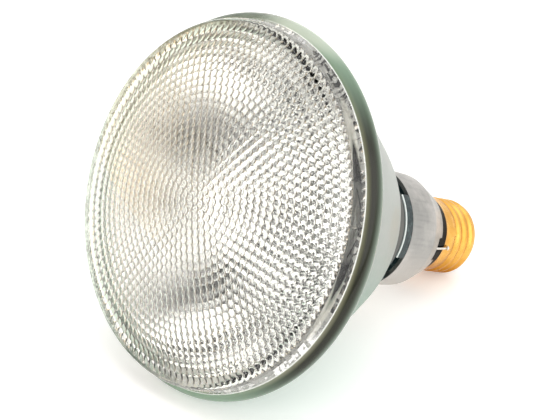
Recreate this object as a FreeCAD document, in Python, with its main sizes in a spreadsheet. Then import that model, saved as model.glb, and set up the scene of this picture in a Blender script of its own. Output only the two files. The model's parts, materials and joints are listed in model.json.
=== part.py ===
import FreeCAD, Part
import math
import os
import re

import Sketcher
from FreeCAD import Placement, Rotation, Vector

# A reflector flood lamp with a stippled front lens and a skirted screw base.
# Every piece is drawn upright about one axis: z runs from the tip of the base, at 0, to the lens.
# At the end the lamp is laid down on its rim and its screw shell, as it lies on a table.

# Driving sizes, in millimetres and degrees. Radii are stacked outwards from the thread's crest and
# inwards from the rim, and heights from the tip up, each on the piece before it.
SIZES = (
    # centre contact and the insulator round it
    ("solder_height", 0.9),
    ("solder_radius", 1.9),
    ("contact_thickness", 0.7),
    ("contact_radius", 4.75),
    ("contact_round", 0.35),
    ("insulator_cone_height", 2.4),
    ("insulator_foot_margin", 0.45),
    ("insulator_plug_clearance", 0.25),
    ("insulator_plug_height", 2.6),
    # screw shell: drawn brass sheet with a rolled thread, a plain band and a neck through the ring
    ("thread_crest_radius", 13.03),
    ("thread_depth", 0.7),
    ("thread_pitch", 3.63),
    ("thread_land", 0.7),
    ("thread_turns", 3),
    ("shell_sheet", 0.35),
    ("shell_curl_reach", 1.33),
    ("shell_curl_height", 0.9),
    ("band_step", 0.42),
    ("band_length", 6.53),
    ("band_flare", 0.5),
    ("shell_neck_step", 0.75),
    ("shell_flange_width", 1.6),
    # black insulating ring between the shell and the skirt
    ("ring_foot_margin", 0.05),
    ("ring_spread", 1.8),
    ("ring_setback", 1.9),
    # aluminium skirt
    ("skirt_rise", 5.7),
    ("skirt_wall", 0.8),
    ("skirt_lip_height", 0.8),
    ("skirt_cone_height", 6.1),
    ("skirt_cone_spread", 2.8),
    ("skirt_corner_height", 1.7),
    ("skirt_corner_spread", 0.6),
    ("skirt_side_spread", 0.7),
    ("skirt_side_height", 13.2),
    ("skirt_bead", 0.3),
    ("skirt_bead_height", 0.9),
    ("skirt_seat_wall", 1.1),
    ("skirt_ledge", 0.5),
    # notch in the skirt's lip that lets the side wire out
    ("notch_angle", -5.0),
    ("notch_width", 8.2),
    ("notch_height", 2.6),
    # pressed glass bowl: foot inside the skirt, floor, lugs and neck
    ("neck_depth", 7.3),
    ("neck_foot_wall", 3.4),
    ("floor_height", 4.0),
    ("floor_thickness", 3.5),
    ("well_margin", 1.8),
    ("well_depth", 6.0),
    ("exhaust_radius", 2.6),
    ("exhaust_length", 5.0),
    ("collar_step", 0.2),
    ("collar_round", 0.5),
    ("collar_height", 3.5),
    ("neck_height", 5.7),
    ("lug_count", 4),
    ("lug_gap_angle", 61.5),
    ("lug_gap_width", 9.6),
    ("lug_gap_depth", 2.6),
    # the bowl itself and the rolled rim that the lens is sealed to
    ("rim_radius", 60.5),
    ("bead_radius", 3.9),
    ("bead_step", 0.3),
    ("bead_foot", 1.2),
    ("waist_rise", 21.0),
    ("waist_spread", 17.55),
    ("flare_radius", 62.5),
    ("shoulder_rise", 32.0),
    ("belly_radius", 400.0),
    ("bowl_wall_across", 3.45),
    ("mirror_foot_radius", 53.0),
    ("seam_step", 2.3),
    ("seam_land", 0.24),
    ("seam_width", 2.2),
    ("seam_bore_depth", 6.0),
    # lens: a shallow cup whose inner face is stippled with rings of small domes
    ("lens_side_height", 4.3),
    ("lens_side_draft", 0.9),
    ("lens_edge_width", 1.1),
    ("lens_edge_height", 1.25),
    ("lens_edge_round", 2.2),
    ("lens_crown", 6.45),
    ("lens_wall", 2.3),
    ("stipple_rings", 22),
    ("stipple_margin", 0.5),
    ("stipple_depth", 0.45),
    ("stipple_turn", 54.0),
    # burner: quartz capsule, pinch seal, foils, leads, coil
    ("burner_rise", 8.0),
    ("pinch_width", 8.2),
    ("pinch_thickness", 3.4),
    ("pinch_height", 9.0),
    ("pinch_sink", 0.5),
    ("bulb_radius", 5.5),
    ("bulb_wall", 1.0),
    ("bulb_foot_step", 1.0),
    ("bulb_shoulder", 2.4),
    ("bulb_length", 10.4),
    ("bulb_tip_radius", 1.1),
    ("bulb_tip_height", 1.6),
    ("bulb_tip_end", 0.5),
    ("foil_width", 2.2),
    ("foil_thickness", 0.2),
    ("foil_length", 5.0),
    ("foil_rise", 2.0),
    ("foil_spacing", 4.2),
    ("coil_radius", 1.45),
    ("coil_wire_radius", 0.25),
    ("coil_rise", 3.4),
    ("coil_turns", 7.5),
    ("coil_pitch", 1.05),
    ("coil_return_step", 1.15),
    # posts, ferrules and lead wires
    ("ferrule_clearance", 0.2),
    ("ferrule_radius", 2.1),
    ("ferrule_wall", 0.5),
    ("ferrule_flange", 0.6),
    ("ferrule_flange_thickness", 0.5),
    ("ferrule_proud", 0.6),
    ("post_radius", 0.8),
    ("post_length", 2.9),
    ("lead_radius", 0.4),
    ("lead_bend", 0.9),
    ("lead_rise", 1.7),
    ("wire_drop", 8.0),
    ("wire_bend", 3.0),
    ("wire_entry_height", 2.0),
    ("wire_clearance", 0.35),
    ("weld_radius", 0.8),
    ("weld_length", 0.5),
    ("weld_setback", 1.7),
)

# Heights and radii that follow from the sizes above.
PLACES = (
    ("insulator_foot", "solder_height + contact_thickness"),
    ("shell_foot", "insulator_foot + insulator_cone_height"),
    ("thread_foot", "shell_foot + shell_curl_height"),
    ("band_foot", "thread_foot + thread_turns * thread_pitch"),
    ("shell_top", "band_foot + band_length"),
    ("skirt_foot", "shell_top + skirt_rise"),
    ("skirt_lip_top", "skirt_foot + skirt_lip_height"),
    ("skirt_shoulder", "skirt_lip_top + skirt_cone_height"),
    ("skirt_corner", "skirt_shoulder + skirt_corner_height"),
    ("skirt_front", "skirt_corner + skirt_side_height"),
    ("ring_top", "skirt_shoulder - ring_setback"),
    ("neck_foot", "skirt_front - neck_depth"),
    ("floor_foot", "neck_foot + floor_height"),
    ("floor_top", "floor_foot + floor_thickness"),
    ("mirror_foot", "floor_top + well_depth"),
    ("collar_top", "skirt_front + collar_height"),
    ("neck_top", "collar_top + neck_height"),
    ("waist", "neck_top + waist_rise"),
    ("shoulder", "waist + shoulder_rise"),
    ("rim", "shoulder + bead_step + bead_radius"),
    ("thread_root_radius", "thread_crest_radius - thread_depth"),
    ("shell_lip_radius", "thread_root_radius - shell_curl_reach"),
    ("band_radius", "thread_root_radius + band_step"),
    ("shell_neck_radius", "band_radius - shell_neck_step"),
    ("shell_flange_radius", "shell_neck_radius + shell_flange_width"),
    ("insulator_foot_radius", "contact_radius + insulator_foot_margin"),
    ("insulator_plug_radius", "shell_lip_radius - shell_sheet - insulator_plug_clearance"),
    ("ring_foot_radius", "band_radius + band_flare + ring_foot_margin"),
    ("skirt_lip_bore", "ring_foot_radius + ring_spread"),
    ("skirt_lip_radius", "skirt_lip_bore + skirt_wall"),
    ("skirt_shoulder_radius", "skirt_lip_radius + skirt_cone_spread"),
    ("skirt_cone_top_bore", "skirt_shoulder_radius - skirt_wall"),
    ("skirt_corner_radius", "skirt_shoulder_radius + skirt_corner_spread"),
    ("skirt_front_radius", "skirt_corner_radius + skirt_side_spread"),
    ("ring_slope", "skirt_cone_spread / skirt_cone_height"),
    ("ring_top_radius", "skirt_cone_top_bore - ring_slope * ring_setback"),
    ("neck_foot_radius", "skirt_front_radius - skirt_seat_wall"),
    ("neck_foot_bore", "neck_foot_radius - neck_foot_wall"),
    ("collar_radius", "skirt_front_radius + collar_step"),
    ("neck_radius", "collar_radius - collar_round"),
    ("lug_gap_floor", "collar_radius - lug_gap_depth"),
    ("ferrule_reach", "exhaust_radius + ferrule_clearance + ferrule_flange + ferrule_radius"),
    ("well_radius", "ferrule_reach + ferrule_radius + well_margin"),
    ("bead_centre_radius", "rim_radius - bead_radius"),
    ("shoulder_radius", "bead_centre_radius - bead_foot"),
    ("waist_radius", "shoulder_radius - waist_spread"),
    ("bead_reach", "bead_radius - seam_step"),
    ("seam_radius", "bead_centre_radius + bead_reach"),
    ("bead_top", "rim + sqrt(bead_radius ^ 2 - bead_reach ^ 2)"),
    ("seam", "bead_top + seam_land"),
    ("seam_bore", "seam_radius - seam_width"),
    ("lens_side_radius", "seam_radius - lens_side_draft"),
    ("lens_edge_radius", "lens_side_radius - lens_edge_width"),
    ("burner_foot", "floor_top + burner_rise"),
    ("pinch_top", "burner_foot + pinch_height"),
    ("foil_foot", "burner_foot + foil_rise"),
    ("foil_top", "foil_foot + foil_length"),
    ("bulb_foot", "pinch_top - pinch_sink"),
    ("bulb_foot_radius", "bulb_radius - bulb_foot_step"),
    ("bulb_dome", "bulb_foot + bulb_shoulder + bulb_length"),
    ("coil_foot", "foil_top + coil_rise"),
    ("coil_return", "coil_radius + coil_return_step"),
    ("ferrule_top", "floor_top + ferrule_proud"),
    ("ferrule_foot", "floor_foot - ferrule_flange_thickness"),
    ("post_top", "ferrule_top + post_length"),
    ("weld_top", "shell_top - weld_setback"),
    ("thread_rise", "thread_depth / 2"),
    ("thread_mean", "thread_root_radius + thread_rise"),
    ("thread_flank", "(thread_pitch - thread_land) / 4"),
    ("thread_round", "(thread_flank ^ 2 + thread_rise ^ 2) / (2 * thread_rise)"),
)

doc = FreeCAD.newDocument("flood_lamp")
sheet = doc.addObject("Spreadsheet::Sheet", "sizes")
for row, (alias, amount) in enumerate(SIZES + PLACES, start=1):
    sheet.set("A%d" % row, alias)
    sheet.set("B%d" % row, str(amount) if row <= len(SIZES) else "=" + amount)
    sheet.setAlias("B%d" % row, alias)
doc.recompute()

ALIASES = {alias for alias, amount in SIZES + PLACES}
SCRATCH_CELL = "D1"
parts = []
known = {}


def number(text):
    """The value of an expression written with the names of the sheet."""
    if text not in known:
        sheet.set(SCRATCH_CELL, "=" + text)
        sheet.recompute()
        known[text] = float(sheet.get(SCRATCH_CELL))
    return known[text]


def bound(text):
    """The same expression for a property outside the sheet, with each name's sheet in front."""
    return re.sub(r"[a-z_]+", lambda m: "sizes." + m[0] if m[0] in ALIASES else m[0], text)


def origin_feature(body, role):
    return next(item for item in body.Origin.OriginFeatures if item.Role == role)


def new_body(label):
    body = doc.addObject("PartDesign::Body", label)
    parts.append(body)
    return body


class Limits:
    """The constraints of a sketch, added together, and the expressions that some of them follow."""

    def __init__(self):
        self.made = []
        self.followed = []

    def add(self, *values):
        self.made.append(Sketcher.Constraint(*values))

    def follow(self, text, *values):
        self.followed.append((len(self.made), text))
        self.add(*values)

    def point(self, geometry, position, x, y):
        """Binds one end of a line or arc, or a centre, to two expressions."""
        for text, kind, axis in ((x, "DistanceX", -2), (y, "DistanceY", -1)):
            if text == "0":
                self.add("PointOnObject", geometry, position, axis)
            else:
                self.follow(bound(text), kind, -1, 1, geometry, position, number(text))

    def apply(self, sketch):
        sketch.addConstraint(self.made)
        for index, text in self.followed:
            sketch.setExpression("Constraints[%d]" % index, text)


def outline(body, name, corners, plane="XZ_Plane", height="", turn=""):
    """A closed sketch. Each corner is (x, y), or (x, y, radius) where an arc leads up to it.

    A positive radius bulges to the right of the way of travel and a negative one to the left.
    """
    sketch = body.newObject("Sketcher::SketchObject", name)
    sketch.AttachmentSupport = (origin_feature(body, plane), [""])
    sketch.MapMode = "FlatFace"
    if height:
        sketch.setExpression("AttachmentOffset.Base.z", bound(height))
    if turn:
        sketch.setExpression("AttachmentOffset.Rotation.Angle", "(%s) * 1 deg" % bound(turn))
    spots = [Vector(number(corner[0]), number(corner[1]), 0) for corner in corners]
    starts, ends, limits = [], [], Limits()
    for index, corner in enumerate(corners):
        first, last = spots[index - 1], spots[index]
        if len(corner) == 2:
            geometry = sketch.addGeometry(Part.LineSegment(first, last), False)
            starts.append((geometry, 1))
            ends.append((geometry, 2))
            continue
        radius = number(corner[2])
        chord = last - first
        sagitta = abs(radius) - math.sqrt(max(radius ** 2 - chord.Length ** 2 / 4, 0.0))
        right = Vector(chord.y, -chord.x, 0).normalize()
        middle = (first + last) / 2 + right * math.copysign(sagitta, radius)
        forward = radius > 0
        ordered = (first, middle, last) if forward else (last, middle, first)
        geometry = sketch.addGeometry(Part.Arc(*ordered), False)
        starts.append((geometry, 1 if forward else 2))
        ends.append((geometry, 2 if forward else 1))
        limits.follow(bound("abs(%s)" % corner[2]), "Radius", geometry, abs(radius))
    for index, corner in enumerate(corners):
        following = starts[(index + 1) % len(corners)]
        limits.add("Coincident", *ends[index], *following)
        limits.point(*ends[index], corner[0], corner[1])
    limits.apply(sketch)
    return sketch


def circles(body, name, centres, radius, height):
    """A sketch of equal circles on a level plane."""
    sketch = body.newObject("Sketcher::SketchObject", name)
    sketch.AttachmentSupport = (origin_feature(body, "XY_Plane"), [""])
    sketch.MapMode = "FlatFace"
    sketch.setExpression("AttachmentOffset.Base.z", bound(height))
    limits = Limits()
    for x, y in centres:
        spot = Vector(number(x), number(y), 0)
        geometry = sketch.addGeometry(Part.Circle(spot, Vector(0, 0, 1), number(radius)), False)
        limits.point(geometry, 3, x, y)
        limits.follow(bound(radius), "Radius", geometry, number(radius))
    limits.apply(sketch)
    return sketch


def revolve(body, sketch):
    feature = body.newObject("PartDesign::Revolution", sketch.Name + "_turned")
    feature.Profile = sketch
    feature.ReferenceAxis = (sketch, ["V_Axis"])
    feature.Angle = 360
    body.Tip = feature
    return feature


def pad(body, sketch, length):
    feature = body.newObject("PartDesign::Pad", sketch.Name + "_raised")
    feature.Profile = sketch
    feature.setExpression("Length", bound(length))
    body.Tip = feature
    return feature


def pocket(body, sketch, length, upward=False):
    feature = body.newObject("PartDesign::Pocket", sketch.Name + "_cut")
    feature.Profile = sketch
    feature.setExpression("Length", bound(length))
    feature.Reversed = upward
    body.Tip = feature
    return feature


def box_corners(left, right, near, far):
    """Four corners of a rectangle, anticlockwise."""
    return [(left, near), (right, near), (right, far), (left, far)]


def solid_of(label, shape):
    """A piece whose shape is worked out here in full."""
    feature = doc.addObject("Part::Feature", label)
    feature.Shape = shape
    parts.append(feature)
    return feature


def bent_wire(label, route, bend, radius):
    """A round wire along straight runs in the XZ plane, joined by arcs of one radius."""
    spots = [Vector(number(x), 0, number(z)) for x, z in route]
    edges, here = [], spots[0]
    for before, corner, after in zip(spots, spots[1:], spots[2:]):
        back = (before - corner).normalize()
        on = (after - corner).normalize()
        half = back.getAngle(on) / 2
        reach = bend / math.tan(half)
        start, end = corner + back * reach, corner + on * reach
        middle_way = (back + on).normalize()
        crown = corner + middle_way * (bend / math.sin(half) - bend)
        edges.append(Part.makeLine(here, start))
        edges.append(Part.Arc(start, crown, end).toShape())
        here = end
    edges.append(Part.makeLine(here, spots[-1]))
    spine = Part.Wire(edges)
    section = Part.Wire(Part.makeCircle(radius, spots[0], spots[1] - spots[0]))
    return solid_of(label, spine.makePipeShell([section], True, False))


def make_tip():
    """Solder bead, contact disc and the black glass insulator between the disc and the shell."""
    solder = new_body("contact_solder")
    bead = "(solder_radius ^ 2 + solder_height ^ 2) / (2 * solder_height)"
    revolve(solder, outline(solder, "solder_section", [
        ("0", "solder_height"), ("0", "0"), ("solder_radius", "solder_height", bead)]))

    contact = new_body("center_contact")
    revolve(contact, outline(contact, "contact_section", [
        ("lead_radius", "insulator_foot"),
        ("lead_radius", "solder_height"),
        ("contact_radius - contact_round", "solder_height"),
        ("contact_radius", "solder_height + contact_round", "contact_round"),
        ("contact_radius", "insulator_foot")]))

    insulator = new_body("tip_insulator")
    revolve(insulator, outline(insulator, "insulator_section", [
        ("lead_radius", "shell_foot + insulator_plug_height"),
        ("lead_radius", "insulator_foot"),
        ("insulator_foot_radius", "insulator_foot"),
        ("shell_lip_radius - shell_sheet", "shell_foot"),
        ("shell_lip_radius - shell_sheet", "shell_foot + shell_sheet"),
        ("insulator_plug_radius", "shell_foot + shell_sheet + 0.8"),
        ("insulator_plug_radius", "shell_foot + insulator_plug_height")]))


def thread_side(inset, start_height):
    """One side of the rolled thread from its foot to its top, moved inwards by the inset."""
    root = "thread_root_radius" + inset
    mean = "thread_mean" + inset
    crest = "thread_crest_radius" + inset
    corners = []
    for turn in range(int(number("thread_turns"))):
        foot = "%s + %d * thread_pitch" % (start_height, turn)
        crest_foot = foot + " + 2 * thread_flank"
        crest_top = crest_foot + " + thread_land"
        corners += [
            (mean, foot + " + thread_flank", "-thread_round"),
            (crest, crest_foot, "thread_round"),
            (crest, crest_top),
            (mean, crest_top + " + thread_flank", "thread_round"),
            (root, crest_top + " + 2 * thread_flank", "-thread_round")]
    return corners


def backwards(first, corners):
    """The same side walked the other way, from its top down to the corner first."""
    spots = [first] + corners
    result = []
    for here, there in zip(reversed(spots[:-1]), reversed(spots[1:])):
        if len(there) == 3:
            turned = there[2][1:] if there[2].startswith("-") else "-" + there[2]
            result.append((here[0], here[1], turned))
        else:
            result.append(here[:2])
    return result


def make_shell():
    """Brass screw shell: curled lip, rolled thread, plain band, and a neck clinched over the ring."""
    body = new_body("screw_shell")
    outer_foot = ("thread_root_radius", "thread_foot")
    inset = " - shell_sheet"
    inner_foot = ("thread_root_radius" + inset, "thread_foot")
    neck_bore = "shell_neck_radius - shell_sheet"
    corners = [("shell_lip_radius", "shell_foot"), outer_foot]
    corners += thread_side("", "thread_foot")
    corners += [
        ("band_radius", "band_foot + band_flare"),
        ("band_radius", "shell_top - band_flare"),
        ("band_radius + band_flare", "shell_top - band_flare / 2"),
        ("band_radius + band_flare", "shell_top"),
        ("shell_neck_radius", "shell_top"),
        ("shell_neck_radius", "ring_top"),
        ("shell_flange_radius", "ring_top"),
        ("shell_flange_radius", "ring_top + shell_sheet"),
        (neck_bore, "ring_top + shell_sheet"),
        (neck_bore, "shell_top - shell_sheet"),
        ("band_radius - shell_sheet", "shell_top - band_flare - shell_sheet"),
        ("band_radius - shell_sheet", "band_foot + band_flare"),
        ("thread_root_radius - shell_sheet", "band_foot")]
    corners += backwards(inner_foot, thread_side(inset, "thread_foot"))
    corners += [
        ("shell_lip_radius - shell_sheet", "shell_foot + shell_sheet"),
        ("shell_lip_radius - shell_sheet", "shell_foot")]
    revolve(body, outline(body, "shell_section", corners))


def side_slot(body, name, top, depth, inner, outer, width, turn):
    """Cuts a straight slot down from a level plane, between two distances from the axis."""
    half = "(%s) / 2" % width
    sketch = outline(body, name, box_corners(inner, outer, "-" + half, half), "XY_Plane", top, turn)
    return pocket(body, sketch, depth)


def make_ring():
    """Black insulating ring, with a groove for the side wire."""
    body = new_body("insulator_ring")
    revolve(body, outline(body, "ring_section", [
        ("shell_neck_radius", "ring_top"),
        ("shell_neck_radius", "shell_top"),
        ("ring_foot_radius", "shell_top"),
        ("skirt_lip_bore", "skirt_foot"),
        ("skirt_lip_bore", "skirt_lip_top"),
        ("ring_top_radius", "ring_top")]))
    side_slot(body, "wire_groove", "ring_top + 1", "ring_top + 2 - shell_top",
              "ring_foot_radius", "skirt_shoulder_radius", "4 * lead_radius", "notch_angle")


def make_skirt():
    """Aluminium skirt: beaded front edge, straight side, cone and lip, with the wire's notch."""
    body = new_body("skirt")
    edge = "skirt_front_radius + skirt_bead"
    revolve(body, outline(body, "skirt_section", [
        ("neck_foot_radius", "skirt_front"),
        ("neck_foot_radius", "neck_foot"),
        ("neck_foot_radius - skirt_ledge", "neck_foot"),
        ("skirt_corner_radius - skirt_wall", "skirt_corner"),
        ("skirt_cone_top_bore", "skirt_shoulder"),
        ("skirt_lip_bore", "skirt_lip_top"),
        ("skirt_lip_bore", "skirt_foot"),
        ("skirt_lip_radius", "skirt_foot"),
        ("skirt_shoulder_radius", "skirt_shoulder"),
        ("skirt_corner_radius", "skirt_corner", "2 * skirt_corner_height"),
        ("skirt_front_radius", "skirt_front - skirt_bead_height - skirt_bead"),
        (edge, "skirt_front - skirt_bead_height"),
        (edge, "skirt_front")]))
    half = "(notch_width) / 2"
    inner, outer = "skirt_lip_radius - 2 * skirt_wall - notch_height", "skirt_front_radius + 1"
    sketch = outline(body, "notch_plan", box_corners(inner, outer, "-" + half, half),
                     "XY_Plane", "skirt_foot + notch_height", "notch_angle")
    pocket(body, sketch, "notch_height + 1")


def make_bowl():
    """Pressed glass bowl: foot, floor with an exhaust tip, lugs, mirror wall and beaded rim."""
    body = new_body("reflector_bowl")
    exhaust_foot = "floor_foot - exhaust_length"
    inner_waist = "waist_radius - bowl_wall_across"
    inner_shoulder = "shoulder_radius - bowl_wall_across"
    revolve(body, outline(body, "bowl_section", [
        ("0", exhaust_foot),
        ("exhaust_radius", exhaust_foot + " + exhaust_radius", "exhaust_radius"),
        ("exhaust_radius", "floor_foot"),
        ("neck_foot_bore", "floor_foot"),
        ("neck_foot_bore", "neck_foot"),
        ("neck_foot_radius", "neck_foot"),
        ("neck_foot_radius", "skirt_front"),
        ("collar_radius", "skirt_front"),
        ("collar_radius", "collar_top - collar_round"),
        ("neck_radius", "collar_top", "collar_round"),
        ("neck_radius", "neck_top"),
        ("waist_radius", "waist", "flare_radius"),
        ("shoulder_radius", "shoulder", "belly_radius"),
        ("bead_centre_radius", "shoulder + bead_step"),
        ("rim_radius", "rim", "bead_radius"),
        ("seam_radius", "bead_top", "bead_radius"),
        ("seam_radius", "seam"),
        ("seam_bore", "seam"),
        ("seam_bore", "seam - seam_bore_depth"),
        (inner_shoulder, "shoulder"),
        (inner_waist, "waist", "-belly_radius"),
        ("well_radius", "mirror_foot", "-mirror_foot_radius"),
        ("well_radius", "floor_top"),
        ("0", "floor_top")]))
    half = "ferrule_reach"
    holes = circles(body, "ferrule_holes", [(half, "0"), ("-" + half, "0")], "ferrule_radius",
                    "floor_top")
    pocket(body, holes, "floor_thickness")
    gap = side_slot(body, "lug_gap", "collar_top", "collar_height", "lug_gap_floor",
                    "collar_radius + 1", "lug_gap_width", "lug_gap_angle")
    gaps = body.newObject("PartDesign::PolarPattern", "lug_gaps")
    gaps.Originals = [gap]
    gaps.Axis = (origin_feature(body, "Z_Axis"), [""])
    gaps.Angle = 360
    gaps.setExpression("Occurrences", bound("lug_count"))
    body.Tip = gaps


def stipple_faces(radius, face_height, top_height):
    """The lens's inner face as six-sided pyramids in rings, and the wire round their edge.

    Ring i holds 6 i domes, each a fan of plane triangles from its top to the valleys between
    three neighbours. The tops lie lower than the valleys, towards the inside of the lamp.
    """
    rings = int(number("stipple_rings"))
    pitch = radius / (rings + 0.5)
    turn = math.radians(number("stipple_turn"))
    tops = [[(0.0, 0.0)]]
    for ring in range(1, rings + 1):
        angles = [turn + 2 * math.pi * step / (6 * ring) for step in range(6 * ring)]
        tops.append([(ring * pitch * math.cos(a), ring * pitch * math.sin(a)) for a in angles])
    valleys = {}

    def note(*spots):
        places = [tops[ring][step] for ring, step in spots]
        x = sum(place[0] for place in places) / 3
        y = sum(place[1] for place in places) / 3
        valley = Vector(x, y, face_height(math.hypot(x, y)))
        for one, two in zip(spots, spots[1:] + spots[:1]):
            valleys.setdefault(frozenset((one, two)), []).append(valley)

    for ring in range(rings):
        inside, outside = max(6 * ring, 1), 6 * (ring + 1)
        for sector in range(6):
            for step in range(ring + 1):
                low = (ring, (sector * ring + step) % inside)
                first = (ring + 1, (sector * (ring + 1) + step) % outside)
                second = (ring + 1, (sector * (ring + 1) + step + 1) % outside)
                note(low, first, second)
                if step < ring:
                    note(low, second, (ring, (sector * ring + step + 1) % inside))
    count = 6 * rings
    edge = []
    for step in range(count):
        angle = turn + 2 * math.pi * (step + 0.5) / count
        corner = Vector(radius * math.cos(angle), radius * math.sin(angle), face_height(radius))
        edge.append(corner)
        valleys[frozenset(((rings, step), (rings, (step + 1) % count)))].append(corner)
    fans = []
    for pair, ends in valleys.items():
        fans += [(spot, ends[0], ends[1]) for spot in pair]
    fans += [((rings, step), edge[step - 1], edge[step]) for step in range(count)]
    faces = []
    for (ring, step), one, two in fans:
        x, y = tops[ring][step]
        top = Vector(x, y, top_height(math.hypot(x, y)))
        if (one - top).cross(two - top).z > 0:
            one, two = two, one
        faces.append(Part.Face(Part.makePolygon([top, one, two, top])))
    return faces, Part.makePolygon(edge + edge[:1])


def make_lens():
    """Pressed glass lens: side band, rounded edge, domed front and stippled back."""
    seam, bore = number("seam"), number("seam_bore")
    side = Vector(number("lens_side_radius"), 0, number("seam + lens_side_height"))
    edge = Vector(number("lens_edge_radius"), 0, side.z + number("lens_edge_height"))
    crown, wall = number("lens_crown"), number("lens_wall")
    top = edge.z + crown
    sphere = (edge.x ** 2 + crown ** 2) / (2 * crown)
    centre = top - sphere

    def face_height(radius, below=wall):
        return centre + math.sqrt((sphere - below) ** 2 - radius ** 2)

    def top_height(radius):
        return face_height(radius, wall + number("stipple_depth"))

    stipple_radius = bore - number("stipple_margin")
    faces, rim = stipple_faces(stipple_radius, face_height, top_height)
    level = face_height(stipple_radius)
    foot = [Vector(bore, 0, level), Vector(bore, 0, seam), Vector(number("seam_radius"), 0, seam), side]
    edges = [Part.makeLine(one, two) for one, two in zip(foot, foot[1:])]
    half_chord = (edge - side).Length / 2
    radius = number("lens_edge_round")
    middle = (side + edge) / 2
    outward = Vector(edge.z - side.z, 0, side.x - edge.x).normalize()
    edges.append(Part.Arc(side, middle + outward * (radius - math.sqrt(radius ** 2 - half_chord ** 2)),
                          edge).toShape())
    halfway = Vector(edge.x / 2, 0, face_height(edge.x / 2, 0))
    edges.append(Part.Arc(edge, halfway, Vector(0, 0, top)).toShape())
    skin = Part.Wire(edges).revolve(Vector(0, 0, 0), Vector(0, 0, 1), 360)
    ring = Part.Wire(Part.makeCircle(bore, Vector(0, 0, level)))
    land = Part.makeFace([ring, rim], "Part::FaceMakerBullseye")
    surface = Part.Compound(faces + skin.Faces + [land])
    surface.sewShape()
    solid = Part.Solid(surface.Shells[0])
    if solid.Volume < 0:
        solid.reverse()
    solid_of("front_lens", solid)


def make_capsule():
    """Quartz capsule: hollow bulb with a tip, and a pinch that holds the foils and wires."""
    body = new_body("capsule_envelope")
    bore = "bulb_radius - bulb_wall"
    tip_top = "bulb_dome + bulb_radius + bulb_tip_height"
    tip_foot = "bulb_dome + sqrt(bulb_radius ^ 2 - bulb_tip_radius ^ 2)"
    revolve(body, outline(body, "bulb_section", [
        ("0", "bulb_foot"),
        ("bulb_foot_radius", "bulb_foot"),
        ("bulb_radius", "bulb_foot + bulb_shoulder", "2 * bulb_shoulder"),
        ("bulb_radius", "bulb_dome"),
        ("bulb_tip_radius", tip_foot, "bulb_radius"),
        ("bulb_tip_end", tip_top + " - bulb_tip_end"),
        ("0", tip_top, "bulb_tip_end"),
        ("0", "bulb_dome + bulb_radius - bulb_wall"),
        (bore, "bulb_dome", "-(bulb_radius - bulb_wall)"),
        (bore, "bulb_foot + bulb_shoulder"),
        ("bulb_foot_radius - bulb_wall", "bulb_foot + bulb_wall", "-2 * bulb_shoulder"),
        ("0", "bulb_foot + bulb_wall")]))
    wide, thick = "pinch_width / 2", "pinch_thickness / 2"
    pad(body, outline(body, "pinch_plan", box_corners("-" + wide, wide, "-" + thick, thick),
                      "XY_Plane", "burner_foot"), "pinch_height")
    half = "foil_spacing / 2"
    flat = "foil_thickness / 2"
    for side, sign in (("left", -1), ("right", 1)):
        middle = "%d * %s" % (sign, half)
        corners = box_corners(middle + " - foil_width / 2", middle + " + foil_width / 2", "-" + flat, flat)
        pocket(body, outline(body, "foil_slot_" + side, corners, "XY_Plane", "foil_foot"),
               "foil_length", upward=True)
    lead_spots = [(half, "0"), ("-" + half, "0")]
    pocket(body, circles(body, "lead_holes", lead_spots, "lead_radius", "burner_foot"),
           "foil_rise", upward=True)
    leg_spots = [("coil_radius", "0"), ("-coil_return", "0")]
    pocket(body, circles(body, "leg_holes", leg_spots, "coil_wire_radius", "foil_top"),
           "bulb_foot + bulb_wall - foil_top", upward=True)


def make_filament():
    """Tungsten coil on the lamp's axis with its two legs."""
    radius, thick = number("coil_radius"), number("coil_wire_radius")
    pitch, turns = number("coil_pitch"), number("coil_turns")
    foot, start = number("coil_foot"), number("foil_top")
    top = foot + pitch * turns
    across = number("coil_return")
    helix = Part.makeHelix(pitch, pitch * turns, radius)
    helix.translate(Vector(0, 0, foot))
    slope = Vector(0, 2 * math.pi * radius, pitch)
    section = Part.Wire(Part.makeCircle(thick, Vector(radius, 0, foot), slope))
    coil = Part.Wire(helix.Edges).makePipeShell([section], True, True)
    pieces = [
        Part.makeCylinder(thick, foot - start, Vector(radius, 0, start)),
        Part.makeSphere(thick, Vector(radius, 0, foot)),
        Part.makeCylinder(thick, top - start, Vector(-across, 0, start)),
        Part.makeSphere(thick, Vector(-across, 0, top)),
        Part.makeCylinder(thick, across - radius, Vector(-across, 0, top), Vector(1, 0, 0)),
        Part.makeSphere(thick, Vector(-radius, 0, top))]
    solid_of("filament", coil.fuse(pieces))


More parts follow.
